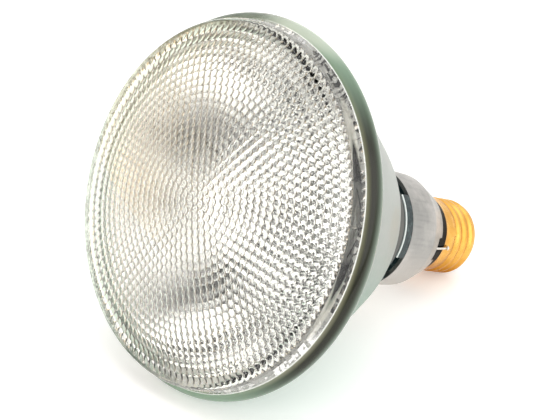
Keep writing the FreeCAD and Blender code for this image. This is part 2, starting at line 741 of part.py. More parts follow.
def make_seal_metal(side, sign):
    """Foil, lead, post and ferrule on one side of the burner."""
    foil = new_body("foil_" + side)
    middle = "%d * foil_spacing / 2" % sign
    corners = box_corners(middle + " - foil_width / 2", middle + " + foil_width / 2",
                          "-foil_thickness / 2", "foil_thickness / 2")
    pad(foil, outline(foil, "foil_plan_" + side, corners, "XY_Plane", "foil_foot"), "foil_length")

    far = "%d * ferrule_reach" % sign
    near = "%d * foil_spacing / 2" % sign
    bent_wire("burner_lead_" + side,
              [(far, "post_top"), (far, "post_top + lead_rise"),
               (near, "burner_foot - lead_rise + 0.4"), (near, "foil_foot")],
              number("lead_bend"), number("lead_radius"))

    at_ferrule = Vector(number(far), 0, 0)
    post = new_body("support_post_" + side)
    pad(post, circles(post, "post_plan_" + side, [("0", "0")], "post_radius", "ferrule_top"),
        "post_length")
    post.Placement = Placement(at_ferrule, Rotation())

    ferrule = new_body("ferrule_" + side)
    cup_bore = "ferrule_radius - ferrule_wall"
    revolve(ferrule, outline(ferrule, "ferrule_section_" + side, [
        ("0", "ferrule_top - ferrule_wall"),
        (cup_bore, "ferrule_top - ferrule_wall"),
        (cup_bore, "ferrule_foot"),
        ("ferrule_radius + ferrule_flange", "ferrule_foot"),
        ("ferrule_radius + ferrule_flange", "floor_foot"),
        ("ferrule_radius", "floor_foot"),
        ("ferrule_radius", "ferrule_top"),
        ("0", "ferrule_top")]))
    ferrule.Placement = Placement(at_ferrule, Rotation())


def make_base_wires():
    """The wire to the centre contact, the wire out to the shell, and its weld."""
    half = "ferrule_reach"
    cup = "ferrule_top - ferrule_wall"
    drop = "floor_foot - wire_drop"
    bend, thick = number("wire_bend"), number("lead_radius")
    bent_wire("center_wire",
              [("-" + half, cup), ("-" + half, drop), ("0", drop + " - 2 * ferrule_reach"),
               ("0", "solder_height")], bend, thick)

    turn = Rotation(Vector(0, 0, 1), number("notch_angle"))
    touch = "band_radius + lead_radius"
    clear = "band_radius + band_flare + lead_radius + wire_clearance"
    wire = bent_wire("side_wire",
                     [(half, cup), (half, drop), ("skirt_lip_bore", "ring_top + wire_entry_height"),
                      ("skirt_lip_bore", "skirt_foot - 0.5"), (clear, "shell_top + 0.1"),
                      (touch, "weld_top + 0.35"), (touch, "weld_top")],
                     number("lead_bend"), thick)
    radius, length = number("weld_radius"), number("weld_length")
    bead = Part.Wire([
        Part.makeLine(Vector(), Vector(0, 0, -radius)),
        Part.Arc(Vector(0, 0, -radius), Vector(radius, 0, -radius).normalize() * radius,
                 Vector(radius, 0, 0)).toShape(),
        Part.makeLine(Vector(radius, 0, 0), Vector(radius, 0, length)),
        Part.makeLine(Vector(radius, 0, length), Vector(0, 0, length)),
        Part.makeLine(Vector(0, 0, length), Vector())])
    bead = Part.Face(bead).revolve(Vector(), Vector(0, 0, 1), 360)
    bead.translate(Vector(number(touch), 0, number("weld_top - weld_length")))
    weld = solid_of("side_weld", bead.cut(Part.makeCylinder(number("band_radius"), number("shell_top"))))
    for piece in (wire, weld):
        piece.Placement = Placement(Vector(), turn)


def lying():
    """The placement that lays the lamp on its rim and the first crest of its thread.

    The tilt is the slope of the line that touches both: the rim is a circle in section, the
    crest is a corner. The lens then faces the front, -Y, and looks a little up.
    """
    across = number("bead_centre_radius - thread_crest_radius")
    along = number("rim - thread_foot - 2 * thread_flank")
    bead = number("bead_radius")
    tilt = math.atan2(across, along) + math.asin(bead / math.hypot(across, along))
    drop = number("bead_centre_radius") * math.cos(tilt) - number("rim") * math.sin(tilt) + bead
    laid = Placement(Vector(0, 0, drop), Rotation(Vector(1, 0, 0), 90 - math.degrees(tilt)))
    reach = []
    for part in parts:
        if part.Label in ("front_lens", "center_contact", "tip_insulator", "screw_shell"):
            shape = part.Shape.copy()
            shape.Placement = laid * shape.Placement
            reach += [point.y for point in shape.tessellate(0.02)[0]]
    laid.Base.y = -(min(reach) + max(reach)) / 2
    return laid


def check_and_write():
    """Stops on any failed object or shape, then writes one file for each piece."""
    broken = [item.Name for item in doc.Objects if {"Invalid", "Error"} & set(item.State)]
    if broken:
        raise RuntimeError("failed objects: " + ", ".join(broken))
    for part in parts:
        if part.Shape.isNull() or not part.Shape.isValid():
            raise RuntimeError("bad shape: " + part.Label)
    os.makedirs("parts", exist_ok=True)
    for part in parts:
        part.Shape.exportStep("parts/%s.step" % part.Label)
        print("%-20s %10.2f mm3" % (part.Label, part.Shape.Volume))


make_lens()
make_bowl()
make_capsule()
make_filament()
make_seal_metal("left", -1)
make_seal_metal("right", 1)
make_skirt()
make_ring()
make_shell()
make_tip()
make_base_wires()
doc.recompute()
laid_down = lying()
for part in parts:
    part.Placement = laid_down * part.Placement
doc.recompute()
check_and_write()
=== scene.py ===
import json
import math

import bpy
import numpy as np
from mathutils import Matrix, Vector

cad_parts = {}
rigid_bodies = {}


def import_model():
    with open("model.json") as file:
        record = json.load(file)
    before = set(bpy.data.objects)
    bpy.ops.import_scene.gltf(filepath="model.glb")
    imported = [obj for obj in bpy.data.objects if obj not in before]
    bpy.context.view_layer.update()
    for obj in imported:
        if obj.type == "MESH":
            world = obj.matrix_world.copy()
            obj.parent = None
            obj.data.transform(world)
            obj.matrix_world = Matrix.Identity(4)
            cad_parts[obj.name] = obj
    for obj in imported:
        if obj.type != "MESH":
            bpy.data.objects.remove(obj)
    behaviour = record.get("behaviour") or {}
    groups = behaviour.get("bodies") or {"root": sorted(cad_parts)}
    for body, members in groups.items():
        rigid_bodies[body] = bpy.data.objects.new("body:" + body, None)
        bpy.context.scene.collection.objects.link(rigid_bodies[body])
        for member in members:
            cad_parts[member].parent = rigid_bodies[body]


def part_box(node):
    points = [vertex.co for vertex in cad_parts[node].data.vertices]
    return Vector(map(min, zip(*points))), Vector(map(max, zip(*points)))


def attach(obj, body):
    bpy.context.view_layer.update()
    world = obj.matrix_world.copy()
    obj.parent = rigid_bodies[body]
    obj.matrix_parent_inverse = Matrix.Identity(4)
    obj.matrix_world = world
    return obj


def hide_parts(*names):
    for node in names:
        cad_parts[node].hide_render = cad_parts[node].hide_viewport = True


# A reflector flood lamp lying on a white floor.
# Surfaces are worked out in the lamp's own millimetres: z runs along its axis, from the tip of the
# base at 0 to the lens, y is the way up when it lies, and x is sideways. placed() puts them in the scene.

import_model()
MM = 0.001
MM_IN_METRE = 1000.0
TAU = 2 * math.pi
SHARP = 38


# The place of the lamp. It touches the floor with its rim, a ring of round section, and the first
# crest of its thread. The tilt is the slope of the line that touches both.

BEAD_CENTRE, BEAD, RIM_Z = 56.6, 3.9, 116.22
CREST, CREST_Z = 13.03, 6.365
REACH = math.hypot(RIM_Z - CREST_Z, BEAD_CENTRE - CREST)
TILT = math.atan2(BEAD_CENTRE - CREST, RIM_Z - CREST_Z) + math.asin(BEAD / REACH)
AXIS = np.array((0, -math.cos(TILT), math.sin(TILT)))
UPWARD = np.array((0, math.sin(TILT), math.cos(TILT)))
SIDEWAYS = np.array((1.0, 0, 0))
DISC_TO_TIP = 1.25


def tip_place():
    """The tip of the base: from the middle of the contact disc, out past half of it and the solder."""
    low, high = (np.array(corner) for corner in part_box("center_contact"))
    return (low + high) / 2 - AXIS * DISC_TO_TIP * MM


TIP = tip_place()


def placed(points):
    """Points in the lamp's millimetres, as points of the scene in metres."""
    points = np.asarray(points, float).reshape(-1, 3) * MM
    return TIP + points[:, :1] * SIDEWAYS + points[:, 1:2] * UPWARD + points[:, 2:] * AXIS


# Meshes

def piece(name, points, faces, material, replaces=(), sharp=SHARP):
    """A mesh of the lamp, shaded smooth except over edges sharper than an angle."""
    mesh = bpy.data.meshes.new(name)
    mesh.from_pydata([tuple(p) for p in placed(points)], [], [tuple(f) for f in faces])
    mesh.validate()
    shade(mesh, material, sharp)
    thing = bpy.data.objects.new(name, mesh)
    bpy.context.scene.collection.objects.link(thing)
    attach(thing, "root")
    if replaces:
        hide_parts(*replaces)


def shade(mesh, material, sharp):
    """Gives a mesh its one material, smooth but for its sharp edges."""
    mesh.materials.clear()
    mesh.materials.append(material)
    mesh.polygons.foreach_set("use_smooth", [True] * len(mesh.polygons))
    mesh.set_sharp_from_angle(angle=math.radians(sharp))


def grid_faces(rows, columns, start=0, closed=False):
    """Quads of a grid of rows by columns whose columns close on themselves.

    With closed, the last row also joins the first.
    """
    faces = []
    for i in range(rows if closed else rows - 1):
        here, there = start + i * columns, start + (i + 1) % rows * columns
        for j in range(columns):
            k = (j + 1) % columns
            faces.append((here + j, here + k, there + k, there + j))
    return faces


def ring_points(r, z, angles):
    """Grid points (r cos a, r sin a, z) at each angle a, row by row."""
    x, y = r * np.cos(angles), r * np.sin(angles)
    return np.stack([x, y, np.broadcast_to(z, x.shape)], axis=2).reshape(-1, 3)


def turned(outline, angles):
    """Grid points of an outline of (r, z) turned through the angles, row by row."""
    outline = np.asarray(outline, float)
    return ring_points(outline[:, :1], outline[:, 1:], angles)


def even_angles(count):
    return np.arange(count) * TAU / count


def bow(start, end, radius, steps):
    """Points of an arc of a radius from start to end, without start.

    A positive radius bulges to the right of the way of travel, a negative one to the left.
    """
    start, end = np.array(start, float), np.array(end, float)
    chord = end - start
    half = np.hypot(*chord) / 2
    normal = np.array((chord[1], -chord[0])) / (2 * half) * math.copysign(1, radius)
    radius = max(abs(radius), half)
    middle = (start + end) / 2 - normal * math.sqrt(max(radius ** 2 - half ** 2, 0.0))
    first = math.atan2(*(start - middle)[::-1])
    sweep = 2 * math.asin(half / radius)
    way = math.copysign(sweep, turn_of(start - middle, end - middle))
    turns = first + way * np.arange(1, steps + 1) / steps
    return [(middle[0] + radius * math.cos(t), middle[1] + radius * math.sin(t)) for t in turns]


def turn_of(one, two):
    """Twice the area between two flat vectors: above 0 where the second lies anticlockwise."""
    return one[0] * two[1] - one[1] * two[0]


def line(start, end, steps):
    """Points along a straight line, without start."""
    start, end = np.array(start, float), np.array(end, float)
    return [tuple(start + (end - start) * k / steps) for k in range(1, steps + 1)]


def path(start, *legs):
    """A polyline of (r, z) from a point and legs.

    A leg is the next point, or (point, steps), or (point, steps, radius) for an arc.
    """
    points = [tuple(map(float, start))]
    for leg in legs:
        end, steps, *radius = leg if isinstance(leg[0], tuple) else (leg, 1)
        points += bow(points[-1], end, *radius, steps) if radius else line(points[-1], end, steps)
    return points


# Shader formulas

class Value:
    """A shader socket with arithmetic, so that a formula reads as one."""

    def __init__(self, shader, socket):
        self.shader, self.socket = shader, socket

    def maths(self, operation, *others, clamp=False):
        settings = {"operation": operation, "use_clamp": clamp}
        return self.shader.node("ShaderNodeMath", self, *others, settings=settings)

    def __add__(self, other):
        return self.maths("ADD", other)

    def __sub__(self, other):
        return self.maths("SUBTRACT", other)

    def __mul__(self, other):
        return self.maths("MULTIPLY", other)

    def __truediv__(self, other):
        return self.maths("DIVIDE", other)

    def __rsub__(self, other):
        return self.maths("MULTIPLY", -1.0).maths("ADD", other)

    __radd__, __rmul__ = __add__, __mul__

    def clamped(self):
        """This value, kept from 0 to 1."""
        return self.maths("ADD", 0.0, clamp=True)

    def dot(self, direction):
        return self.shader.node("ShaderNodeVectorMath", self, tuple(direction), output="Value",
                                settings={"operation": "DOT_PRODUCT"})

    def ramp(self, low, high):
        """0 below low, 1 above high, and smooth between."""
        return self.shader.node("ShaderNodeMapRange", self, From_Min=low, From_Max=high,
                                settings={"interpolation_type": "SMOOTHSTEP"})

    def mix(self, low, high):
        """A colour between two, by this value."""
        made = self.shader.tree.nodes.new("ShaderNodeMix")
        made.data_type = "RGBA"
        self.shader.feed(made.inputs["Factor"], self)
        colours = [socket for socket in made.inputs if socket.type == "RGBA"]
        for socket, colour in zip(colours, (low, high)):
            self.shader.feed(socket, colour)
        return Value(self.shader, next(s for s in made.outputs if s.type == "RGBA"))


class Shader:
    """The nodes of one material or of the world."""

    def __init__(self, tree):
        self.tree = tree
        tree.nodes.clear()

    def feed(self, socket, value):
        if isinstance(value, Value):
            self.tree.links.new(value.socket, socket)
        elif socket.type == "RGBA":
            socket.default_value = tuple(value) + (1.0,) * (4 - len(value))
        else:
            socket.default_value = value

    def node(self, kind, *values, output=0, settings=None, **inputs):
        """Adds a node: its settings, then values for its first sockets, then those of named ones.

        Names have underscores for spaces. A node that has no output gives None.
        """
        made = self.tree.nodes.new(kind)
        for key, value in (settings or {}).items():
            setattr(made, key, value)
        for index, value in enumerate(values):
            self.feed(made.inputs[index], value)
        for key, value in inputs.items():
            self.feed(made.inputs[key.replace("_", " ")], value)
        return Value(self, made.outputs[output]) if made.outputs else None

    def position(self):
        return self.node("ShaderNodeTexCoord", output="Object")

    def noise(self, place, scale, detail=2.0, roughness=0.5):
        return self.node("ShaderNodeTexNoise", Vector=place, Scale=scale, Detail=detail,
                         Roughness=roughness)

    def from_tip(self, direction):
        """Millimetres from the tip of the base, counted in a direction."""
        return (self.position().dot(direction) - float(TIP @ direction)) * MM_IN_METRE

    def along(self):
        """Millimetres along the lamp's axis from the tip of its base."""
        return self.from_tip(AXIS)

    def height(self):
        """Millimetres up from the lamp's axis, square to it."""
        return self.from_tip(UPWARD)

    def aside(self):
        """Millimetres sideways from the lamp's axis."""
        return self.from_tip(SIDEWAYS)

    def stretched(self, across, lengthwise):
        """A place for textures, scaled by one factor across the axis and another along it."""
        turn = Matrix((SIDEWAYS, UPWARD, AXIS)).to_euler()
        flat = self.node("ShaderNodeMapping", settings={"vector_type": "POINT"},
                         Vector=self.position(), Rotation=tuple(turn))
        return self.node("ShaderNodeMapping", Vector=flat, Scale=(across, across, lengthwise))

    def bump(self, height, strength, distance):
        return self.node("ShaderNodeBump", Height=height, Strength=strength, Distance=distance)

    def surface(self, **values):
        return self.node("ShaderNodeBsdfPrincipled", **values)


def surfaced(name, build):
    """A material whose surface build makes from the material's nodes."""
    made = bpy.data.materials.new(name)
    made.use_nodes = True
    shader = Shader(made.node_tree)
    shader.node("ShaderNodeOutputMaterial", Surface=build(shader))
    return made


def material(name, look, **values):
    """A material with one surface. look gives those of its inputs that are formulas."""
    return surfaced(name, lambda s: s.surface(**values, **look(s)))


def lens_look(s):
    """Clear glass with the faintest waviness left by pressing."""
    swell = s.noise(s.position(), 90.0)
    return {"Normal": s.bump(swell, 0.1, 0.0003)}


CLEAR = {"Transmission_Weight": 1.0, "Roughness": 0.0}
GLASS_BEND, QUARTZ_BEND = 1.48, 1.46

# Colours of the bowl's glass, from the foot up. Where two go together, the first is the darker.
SHADE_TEAL, DUSTY_SHADE_TEAL = (0.01, 0.022, 0.025), (0.05, 0.08, 0.08)
NECK_GREY, COLLAR_EDGE_HIGHLIGHT, FLOOR_GREY = (0.085, 0.085, 0.078), (0.75, 0.80, 0.78), (0.55, 0.56, 0.54)
WALL_SHADED_GREEN, WALL_LIT_GREY = (0.15, 0.29, 0.20), (0.34, 0.36, 0.34)
RIM_GREEN, RIM_DARK_REFLECTION, RIM_OLIVE_HIGHLIGHT = (0.13, 0.18, 0.13), (0.012, 0.013, 0.005), (0.20, 0.20, 0.135)
RIM_END_LIGHT, RIM_TOP_LIGHT, BORE_HIGHLIGHT = (0.20, 0.30, 0.21), (0.44, 0.50, 0.41), (0.97, 0.98, 0.95)
CLEAR_GREEN = (0.78, 0.88, 0.79)
HALF_RIM = 58.0


def bowl_look(s):
    """Pressed glass, silvered on its inside: opaque from the foot up to the rim.

    The wall is dull, painted darker and greener on its lower side, a painted shade. The rim is clear
    green glass on one side. On the side of the camera its colour is painted light and shade: a painted
    reflection of the dark room, dark olive to teal, a painted highlight by the seam, paler painted
    light at its top and ends, and a bright painted bore. The lugs and the foot are dark teal, painted
    shade for the dark hollow behind the glass, the neck is dark grey, a painted highlight runs round
    the collar's edge, and the floor inside the neck is grey.
    """
    z, up, aside = s.along(), s.height(), s.aside()
    speck = s.noise(s.position(), 500.0, 4.0, 0.7)
    neck, rim = 1.0 - z.ramp(58.6, 61.0), z.ramp(111.9, 112.5)
    radius_squared = up * up + aside * aside

    # Painted shade: the lugs and the foot are dark teal for the dark hollow behind the glass, with random
    # lighter specks.
    lug = speck.ramp(0.45, 0.7).mix(SHADE_TEAL, DUSTY_SHADE_TEAL)
    lug = z.ramp(53.4, 53.9).mix(lug, NECK_GREY)
    # Painted highlight: a thin bright line round the rounded edge of the collar.
    edge = z.ramp(52.75, 52.95) * (1.0 - z.ramp(53.15, 53.4))
    lug = edge.mix(lug, COLLAR_EDGE_HIGHLIGHT)
    inside = z.ramp(49.0, 49.8) * (1.0 - radius_squared.ramp(11.0 ** 2, 12.0 ** 2))
    lug = inside.mix(lug, FLOOR_GREY)

    # Painted shade: the wall is darker and greener towards its lower side, with random specks in its
    # tone.
    low = (up + s.noise(s.position(), 25.0, 3.0) * 12.0).ramp(-30.0, 16.0)
    wall = (low - (speck - 0.5) * 0.8).mix(WALL_SHADED_GREEN, WALL_LIT_GREY)

    # The rim on the camera's side is painted light and shade: a painted reflection of the dark room, dark
    # olive to teal, a lighter painted highlight by the seam, and paler painted light at its top and ends.
    off = up / HALF_RIM
    end = (off * off).ramp(0.3, 1.0)
    olive = z.ramp(118.6, 119.85).mix(RIM_DARK_REFLECTION, RIM_OLIVE_HIGHLIGHT)
    olive = z.ramp(114.5, 118.0).mix(RIM_GREEN, olive)
    olive = end.mix(olive, RIM_END_LIGHT)
    olive = up.ramp(52.0, HALF_RIM).mix(olive, RIM_TOP_LIGHT)
    # Painted light: the bore and the top of the seam are painted bright, a painted highlight on the glass
    # edge.
    bore = (1.0 - radius_squared.ramp(56.3 ** 2, 57.0 ** 2) + z.ramp(119.6, 119.8)).clamped()
    olive = bore.mix(olive, BORE_HIGHLIGHT)

    swell = s.bump(s.noise(s.position(), 60.0), 0.2, 0.0006)
    body = s.surface(Base_Color=neck.mix(rim.mix(wall, olive), lug),
                     Metallic=0.5 - (neck + rim) * 0.5, Roughness=0.5 - (neck + rim) * 0.3,
                     Coat_Weight=neck * 0.25 + rim * 0.05 + 0.1, Coat_Roughness=0.03,
                     Specular_IOR_Level=0.3, Normal=swell)
    clear = s.surface(Base_Color=CLEAR_GREEN, IOR=GLASS_BEND, Normal=swell, **CLEAR)
    away = z.ramp(112.6, 113.4) * (1.0 - aside.ramp(-12.0, 6.0))
    return s.node("ShaderNodeMixShader", away, body, clear)


def silver_look(s):
    """Evaporated aluminium on pressed glass: bright, with slow waves."""
    swell = s.noise(s.position(), 45.0, 3.0)
    return {"Normal": s.bump(swell, 0.25, 0.0008)}


def skirt_look(s):
    """Drawn aluminium: fine rings, soft dents and a dull film, and painted light that makes it paler
    underneath.
    """
    rings = s.noise(s.stretched(20.0, 900.0), 4.0, 3.0)
    dents = s.noise(s.position(), 160.0, 4.0, 0.65)
    film = s.noise(s.position(), 45.0, 5.0, 0.65).ramp(0.38, 0.62)
    scuffs = s.noise(s.stretched(900.0, 60.0), 1.0, 4.0).ramp(0.45, 0.75)
    upper = s.height().ramp(-16.0, 4.0)
    wear_and_painted_light = (film * 0.75 + scuffs * 0.25).mix((0.48, 0.46, 0.44), (0.29, 0.29, 0.28))
    # Painted light: the lower side is paler, as if lit from below.
    wear_and_painted_light = upper.mix((0.56, 0.53, 0.50), wear_and_painted_light)
    return {"Base_Color": wear_and_painted_light, "Roughness": film * 0.14 + 0.28,
            "Normal": s.bump(rings * 0.4 + dents, 0.5, 0.0007)}


def brass_look(s):
    """Rolled brass: fine rings from drawing, a slow change of tarnish, and painted shade that makes it
    deeper underneath.
    """
    rings = s.noise(s.stretched(20.0, 1200.0), 4.0, 3.0)
    tarnish = s.noise(s.position(), 150.0, 4.0, 0.6).ramp(0.35, 0.7)
    bright = tarnish.mix((0.80, 0.45, 0.11), (0.70, 0.36, 0.07))
    # Painted shade: the lower side is a deeper, darker orange.
    return {"Base_Color": s.height().ramp(-13.0, -5.0).mix((0.50, 0.20, 0.01), bright),
            "Roughness": tarnish * 0.14 + 0.22,
            "Normal": s.bump(rings, 0.15, 0.0003)}


def grained(s, grain):
    """A fine grain in a surface's gloss and height."""
    return {"Roughness": grain * 0.2 + 0.25, "Normal": s.bump(grain, 0.2, 0.0002)}


def dull_look(s):
    """A dull metal surface with small unevenness."""
    return grained(s, s.noise(s.position(), 900.0, 3.0))


def black_look(s):
    """Moulded black surface with a faint grain and dust."""
    grain = s.noise(s.position(), 1400.0, 3.0)
    dust = grain.ramp(0.6, 0.85).mix((0.004, 0.004, 0.004), (0.012, 0.012, 0.012))
    return {"Base_Color": dust, **grained(s, grain)}


def dull_metal(name, colour):
    return material(name, dull_look, Base_Color=colour, Metallic=1.0)


LENS_GLASS = material("lens glass", lens_look, Base_Color=(0.998, 0.995, 0.975), IOR=GLASS_BEND,
                      **CLEAR)
BOWL_GLASS = surfaced("bowl glass", bowl_look)
SILVER = material("silvering", silver_look, Base_Color=(0.99, 0.99, 0.985), Metallic=1.0,
                  Roughness=0.02)
QUARTZ = material("quartz", lens_look, Base_Color=(0.99, 0.99, 0.99), IOR=QUARTZ_BEND, **CLEAR)
SKIRT = material("aluminium", skirt_look, Metallic=1.0)
BRASS = material("brass", brass_look, Metallic=1.0)
TUNGSTEN = dull_metal("tungsten", (0.30, 0.29, 0.29))
FOIL = dull_metal("foil", (0.60, 0.58, 0.57))
NICKEL = dull_metal("nickel", (0.70, 0.68, 0.64))
SOLDER = dull_metal("solder", (0.75, 0.74, 0.73))
BLACK = material("black ring", black_look, Specular_IOR_Level=0.02)
BLACK_GLASS = material("black glass", black_look, Coat_Weight=0.6, Coat_Roughness=0.05)

# The CAD nodes that stay, and what they are made of.
NODE_LOOKS = {
    "capsule_envelope": QUARTZ, "filament": TUNGSTEN,
    "foil_left": FOIL, "foil_right": FOIL,
    "burner_lead_left": NICKEL, "burner_lead_right": NICKEL,
    "support_post_left": NICKEL, "support_post_right": NICKEL,
    "ferrule_left": NICKEL, "ferrule_right": NICKEL,
    "insulator_ring": BLACK, "tip_insulator": BLACK_GLASS, "center_contact": BRASS,
    "contact_solder": SOLDER, "center_wire": NICKEL, "side_wire": NICKEL, "side_weld": SOLDER,
    "skirt": SKIRT,
}
for thing in bpy.data.objects:
    look = NODE_LOOKS.get(thing.name)
    if look and thing.type == "MESH":
        shade(thing.data, look, SHARP)


# The lens: a shallow cup. Its inner face has 22 rings of round lenticules, 6 i of them in ring i.

SEAM, SEAM_BORE, SEAM_OUT = 120.02, 56.0, 58.2
SIDE = (57.3, 124.32)
EDGE, EDGE_ROUND = (56.2, 125.57), 2.2
TOP, LENS_WALL = 132.02, 2.3
SPHERE = (EDGE[0] ** 2 + (TOP - EDGE[1]) ** 2) / (2 * (TOP - EDGE[1]))
SPHERE_Z = TOP - SPHERE
RINGS, STIPPLE, STIPPLE_TURN = 22, 55.5, math.radians(54)
LENTICULE, LENTICULE_RISE = 2.85, 0.35
DOME_ROWS = 25
HAIR = 1e-3


def dome_z(r, below=0.0):
    """z of the lens's outer sphere at r, or of the sphere a wall below it."""
    return SPHERE_Z + np.sqrt((SPHERE - below) ** 2 - np.square(r))


def around(angles):
    """Points on the unit circle at the angles."""
    return np.stack([np.cos(angles), np.sin(angles)], axis=1)


def lenticule_centres():
    """Centres of the lenticules, ring by ring from the axis out, on an even pitch."""
    pitch = STIPPLE / (RINGS + 0.5)
    rings = [np.zeros((1, 2))]
    for ring in range(1, RINGS + 1):
        rings.append(ring * pitch * around(STIPPLE_TURN + even_angles(6 * ring)))
    return rings


def circumcentre(a, b, c):
    """The point as far from a as from b and c."""
    b, c = b - a, c - a
    d = 2 * turn_of(b, c)
    bb, cc = b @ b, c @ c
    return a + np.array((c[1] * bb - b[1] * cc, b[0] * cc - c[0] * bb)) / d


def lenticule_cells():
    """The cells round the lenticules, as triangles (centre, corner, corner), and the edge's corners.

    Each cell is the set of points nearest to its centre. Two neighbours share the side between the
    circumcentres of the two triangles of centres that hold both.
    """
    rings = lenticule_centres()
    corners = {}

    def note(*spots):
        corner = circumcentre(*(rings[ring][step] for ring, step in spots))
        for one, two in zip(spots, spots[1:] + spots[:1]):
            corners.setdefault(frozenset((one, two)), []).append(corner)

    for ring in range(RINGS):
        inside, outside = max(6 * ring, 1), 6 * (ring + 1)
        for sector in range(6):
            for step in range(ring + 1):
                low = (ring, (sector * ring + step) % inside)
                first = (ring + 1, (sector * (ring + 1) + step) % outside)
                second = (ring + 1, (sector * (ring + 1) + step + 1) % outside)
                note(low, first, second)
                if step < ring:
                    note(low, second, (ring, (sector * ring + step + 1) % inside))
    count = 6 * RINGS
    edge = STIPPLE * around(STIPPLE_TURN + (np.arange(count) + 0.5) * TAU / count)
    for step in range(count):
        corners[frozenset(((RINGS, step), (RINGS, (step + 1) % count)))].append(edge[step])
    fans = [(rings[r][s], *ends) for pair, ends in corners.items() for r, s in pair]
    fans += [(rings[RINGS][step], edge[step - 1], edge[step]) for step in range(count)]
    return fans, edge


def stipple(fineness):
    """Points and triangles of the stippled face, and the indices of its outer edge in order.

    Each triangle of a cell is cut into fineness squared. Height is that of a ball on each centre, so
    that neighbours meet in sharp valleys: z = wall sphere - rise + R - sqrt(R^2 - d^2), with d from
    the nearest centre. The outer edge lies on the wall sphere itself.
    """
    fans, edge = lenticule_cells()
    index, flat, depth, faces = {}, [], [], []

    def spot_key(place):
        return round(place[0], 4), round(place[1], 4)

    def vertex(place, centre):
        key = spot_key(place)
        if key not in index:
            index[key] = len(flat)
            flat.append(place)
            depth.append(np.hypot(*(place - centre)))
        return index[key]

    for centre, one, two in fans:
        area = turn_of(one - centre, two - centre)
        if abs(area) < HAIR:
            continue
        if area > 0:
            one, two = two, one
        rows = []
        for i in range(fineness + 1):
            near = centre + (one - centre) * i / fineness
            far = centre + (two - centre) * i / fineness
            spots = [near + (far - near) * j / max(i, 1) for j in range(i + 1)]
            rows.append([vertex(spot, centre) for spot in spots])
        for above, below in zip(rows, rows[1:]):
            for j in range(len(above)):
                faces.append((above[j], below[j], below[j + 1]))
                if j + 1 < len(above):
                    faces.append((above[j], below[j + 1], above[j + 1]))
    faces = [face for face in faces if len(set(face)) == 3]
    flat, depth = np.array(flat), np.array(depth)
    sag = LENTICULE - np.sqrt(np.maximum(LENTICULE ** 2 - depth ** 2, 0.05))
    radius = np.hypot(flat[:, 0], flat[:, 1])
    on_edge = radius > STIPPLE - HAIR
    z = dome_z(radius, LENS_WALL) - np.where(on_edge, 0.0, LENTICULE_RISE - sag)
    ring = [index[spot_key(one + (two - one) * k / fineness)]
            for one, two in zip(edge, np.roll(edge, -1, axis=0)) for k in range(fineness)]
    return np.column_stack([flat, z]), faces, ring


def make_lens():
    """The lens in one closed skin: stippled face, seam, side band, rounded edge and outer dome."""
    fineness = 4
    points, faces, ring = stipple(fineness)
    count, start = len(ring), len(points)
    angles = STIPPLE_TURN + (np.arange(count) + fineness / 2) * TAU / count
    level = float(dome_z(STIPPLE, LENS_WALL))
    wall = path((SEAM_BORE, level), ((SEAM_BORE, SEAM), 2), (SEAM_OUT, SEAM), (SIDE, 4),
                (EDGE, 8, EDGE_ROUND))
    dome = [(r, float(dome_z(r))) for r in np.linspace(EDGE[0], 0, DOME_ROWS)[1:-1]]
    shell = turned(wall + dome, angles)
    faces += grid_faces(len(wall) + len(dome), count, start)
    apex = start + len(shell)
    last = apex - count
    faces += [(last + j, last + (j + 1) % count, apex) for j in range(count)]
    for j in range(count):
        k = (j + 1) % count
        faces += [(ring[j], ring[k], start + k), (ring[j], start + k, start + j)]
    points = np.vstack([points, shell, [(0, 0, TOP)]])
    piece("front_lens_glass", points, faces, LENS_GLASS, ["front_lens"], 30)


# The bowl: pressed glass, with lugs on its collar, and its silvering as a skin just inside it.
# Places are (r, z). An outline ends a hair off the axis, where a flat face closes it.

OFF_AXIS = 0.02
EXHAUST, EXHAUST_LOW = 2.6, 41.52
FOOT, FOOT_BORE, FOOT_LOW, FOOT_HIGH = 18.9, 15.5, 42.52, 46.52
COLLAR, COLLAR_LOW, COLLAR_HIGH, COLLAR_ROUND = 20.2, 49.82, 53.32, 0.5
NECK, NECK_HIGH = 19.7, 59.02
WAIST, SHOULDER = (37.85, 80.02), (55.4, 112.02)
FLARE, BELLY, MIRROR_FOOT = 62.5, 400.0, 53.0
RIM, RIM_SEAM_Z = 60.5, 119.777
MOUTH, MOUTH_LIP_Z = (51.95, 112.02), 114.02
WAIST_BORE, WELL = (34.4, 80.02), (9.4, 56.02)
FLOOR_TOP = 50.02
COAT_FACE, COAT_BACK, COAT_COLUMNS = 0.05, 0.03, 192

GAP_ANGLES = [math.radians(61.5 + 90 * k) for k in range(4)]
GAP_HALF, GAP_FLOOR = 4.8, 17.6
GAP_SPAN = math.asin(GAP_HALF / COLLAR)
GAP_CORNER = 0.0008
UNLIMITED = 1e3


def bowl_angles(count):
    """Even angles, with each side of each gap between the lugs marked by two close ones."""
    marks = list(even_angles(count))
    for gap in GAP_ANGLES:
        for side in (-1, 1):
            edge = gap + side * GAP_SPAN
            marks += [edge - GAP_CORNER, edge + GAP_CORNER]
            marks += [gap + side * GAP_SPAN * k / 3 for k in range(3)]
    return np.unique(np.round(np.mod(marks, TAU), 6))


def lug_radius(angles):
    """The reach of the collar at each angle: unlimited on a lug, the flat floor in a gap."""
    reach = np.full(len(angles), UNLIMITED)
    for gap in GAP_ANGLES:
        off = np.mod(angles - gap + math.pi, TAU) - math.pi
        inside = np.abs(off) < GAP_SPAN
        reach[inside] = GAP_FLOOR / np.cos(off[inside])
    return reach


